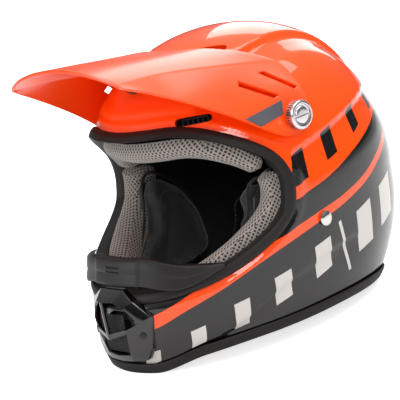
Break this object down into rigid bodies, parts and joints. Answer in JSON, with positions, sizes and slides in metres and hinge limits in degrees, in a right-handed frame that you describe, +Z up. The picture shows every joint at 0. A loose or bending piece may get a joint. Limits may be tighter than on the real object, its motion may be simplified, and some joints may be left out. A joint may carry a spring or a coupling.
{
  "type": "off-road helmet",
  "caption": "Full-face off-road helmet with a tilting visor, an open eye port with a nose guard, a chin intake, a padded liner and a buckled chin strap.",
  "frame": {"origin": "centre of the bounding box's underside, on the plane that the helmet's lower edge rests on", "axes": "+Z up; the eye port faces -Y; +X is the wearer's left; X = 0 is the mirror plane"},
  "size_m": [0.2382, 0.3035, 0.2563],
  "materials": {
    "shell_paint": "high gloss clear coat over orange, black and white paint",
    "impact_foam": "fine beaded foam",
    "trim_rubber": "matte",
    "mesh_fabric": "warm grey spacer mesh",
    "liner_fabric": "brushed",
    "black_plastic": "satin",
    "guard_rubber": "matte",
    "gloss_black_plastic": "gloss",
    "black_mesh": "matte",
    "dark_steel": "satin black",
    "visor_plastic": "satin",
    "screw_aluminium": "turned, fine knurl",
    "insert_brass": "machined",
    "polished_steel": "polished",
    "strap_webbing": "woven",
    "sleeve_fabric": "brushed"
  },
  "bodies": {
    "helmet": {"outer_shell": "shell_paint", "eps_liner": "impact_foam", "chin_bar_foam": "impact_foam", "eye_port_trim": "trim_rubber", "neck_trim": "trim_rubber", "brow_pad": "mesh_fabric", "crown_pad": "liner_fabric", "nape_pad": "liner_fabric", "cheek_pad_left": "mesh_fabric", "cheek_pad_right": "mesh_fabric", "cheek_plate_left": "black_plastic", "cheek_plate_right": "black_plastic", "cheek_snaps": "black_plastic", "nose_guard": "guard_rubber", "mouthpiece": "gloss_black_plastic", "mouthpiece_mesh": "black_mesh", "mouthpiece_screws": "dark_steel", "forehead_grille_left": "black_plastic", "forehead_grille_right": "black_plastic", "exhaust_grille_left": "black_plastic", "exhaust_grille_right": "black_plastic", "visor_insert_left": "insert_brass", "visor_insert_right": "insert_brass", "visor_insert_centre": "insert_brass", "visor_spacer_centre": "black_plastic", "strap_rivet_left": "polished_steel", "strap_rivet_right": "polished_steel", "strap_hanger_left": "polished_steel", "strap_hanger_right": "polished_steel"},
    "visor_assembly": {"visor": "visor_plastic", "visor_bush_left": "black_plastic", "visor_bush_right": "black_plastic"},
    "screw_left": {"visor_screw_left": "screw_aluminium"},
    "screw_right": {"visor_screw_right": "screw_aluminium"},
    "screw_centre": {"visor_screw_centre": "dark_steel"},
    "buckled_strap": {"chin_strap_left": "strap_webbing", "chin_strap_right": "strap_webbing", "strap_sleeve_left": "sleeve_fabric", "strap_sleeve_right": "sleeve_fabric", "d_ring_outer": "polished_steel", "d_ring_inner": "polished_steel", "strap_snap": "black_plastic"}
  },
  "joints": [
    {"name": "visor_tilt", "type": "hinge", "parent": "helmet", "child": "visor_assembly", "pos_m": [0, 0.00395, 0.174], "axis": [1, 0, 0], "range_deg": [-4, 6]},
    {"name": "screw_left_turn", "type": "hinge", "parent": "helmet", "child": "screw_left", "pos_m": [0.11, 0.00395, 0.174], "axis": [1, 0, 0], "continuous": true},
    {"name": "screw_right_turn", "type": "hinge", "parent": "helmet", "child": "screw_right", "pos_m": [-0.11, 0.00395, 0.174], "axis": [-1, 0, 0], "continuous": true},
    {"name": "screw_centre_turn", "type": "hinge", "parent": "helmet", "child": "screw_centre", "pos_m": [0, -0.06562, 0.22455], "axis": [0, -0.809, 0.5878], "continuous": true},
    {"name": "strap_swing", "type": "hinge", "parent": "helmet", "child": "buckled_strap", "pos_m": [0, 0.00304, 0.04648], "axis": [1, 0, 0], "range_deg": [-25, 25]}
  ]
}
